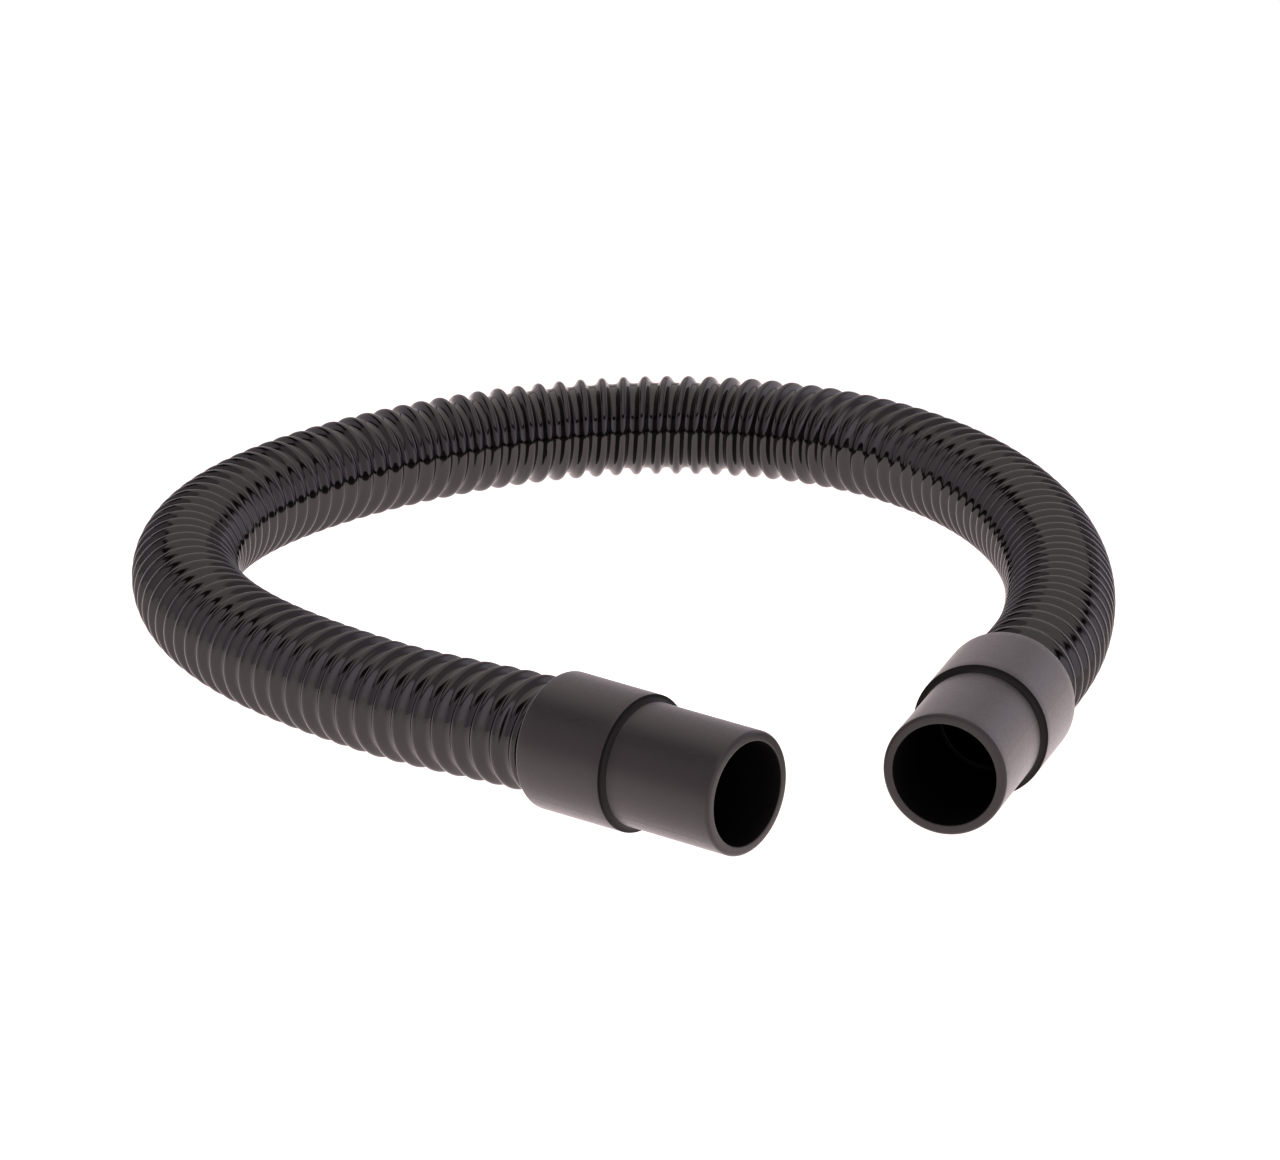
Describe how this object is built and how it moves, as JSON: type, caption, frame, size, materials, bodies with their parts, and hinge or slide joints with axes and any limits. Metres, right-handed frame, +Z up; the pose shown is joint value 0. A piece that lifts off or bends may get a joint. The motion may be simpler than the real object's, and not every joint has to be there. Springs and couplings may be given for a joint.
{
  "type": "vacuum hose",
  "caption": "Corrugated flexible vacuum hose lying in an open curve, with a stepped swivel cuff on each end.",
  "frame": {"origin": "middle of the base of the bounding box, on the surface the hose lies on", "axes": "+Z up; both mouths look towards -Y; +Y is the longer way across the curve"},
  "size_m": [0.3924, 0.5004, 0.0513],
  "materials": {
    "hose": "gloss black soft PVC",
    "cuff": "matte dark grey moulded plastic, finely textured sleeve",
    "insert": "moulded black",
    "ring": "moulded black"
  },
  "bodies": {
    "hose_rear": {"hose_rear_left": "hose", "hose_rear_right": "hose"},
    "hose_left": {"hose_left_bend": "hose", "hose_left_run": "hose"},
    "hose_left_end": {"hose_left_end": "hose", "left_insert": "insert"},
    "left_cuff": {"left_cuff_shell": "cuff", "left_retaining_ring": "ring"},
    "hose_right": {"hose_right_bend": "hose", "hose_right_run": "hose"},
    "hose_right_end": {"hose_right_end": "hose", "right_insert": "insert"},
    "right_cuff": {"right_cuff_shell": "cuff", "right_retaining_ring": "ring"}
  },
  "joints": [
    {"name": "left_bend", "type": "hinge", "parent": "hose_rear", "child": "hose_left", "pos_m": [-0.14357, 0.13134, 0.0217], "axis": [0, 0, -1], "range_deg": [0, 90], "stiffness_Nm_per_rad": 0.35, "deforming": ["hose_left_bend", "hose_rear_left"]},
    {"name": "left_end_bend", "type": "hinge", "parent": "hose_left", "child": "hose_left_end", "pos_m": [-0.10394, -0.10874, 0.0217], "axis": [0, 0, -1], "range_deg": [-4, 60], "stiffness_Nm_per_rad": 0.35, "deforming": ["hose_left_end", "hose_left_run"]},
    {"name": "right_bend", "type": "hinge", "parent": "hose_rear", "child": "hose_right", "pos_m": [0.08773, 0.21072, 0.0217], "axis": [0, 0, 1], "range_deg": [0, 100], "stiffness_Nm_per_rad": 0.35, "deforming": ["hose_rear_right", "hose_right_bend"]},
    {"name": "right_end_bend", "type": "hinge", "parent": "hose_right", "child": "hose_right_end", "pos_m": [0.1712, -0.02885, 0.0217], "axis": [0, 0, 1], "range_deg": [-4, 60], "stiffness_Nm_per_rad": 0.35, "deforming": ["hose_right_run", "hose_right_end"]},
    {"name": "left_cuff_swivel", "type": "hinge", "parent": "hose_left_end", "child": "left_cuff", "pos_m": [0.04546, -0.23315, 0.02565], "axis": [0.7731, -0.6343, 0], "continuous": true},
    {"name": "right_cuff_swivel", "type": "hinge", "parent": "hose_right_end", "child": "right_cuff", "pos_m": [0.11515, -0.21468, 0.02565], "axis": [-0.3322, -0.9432, 0], "continuous": true}
  ]
}
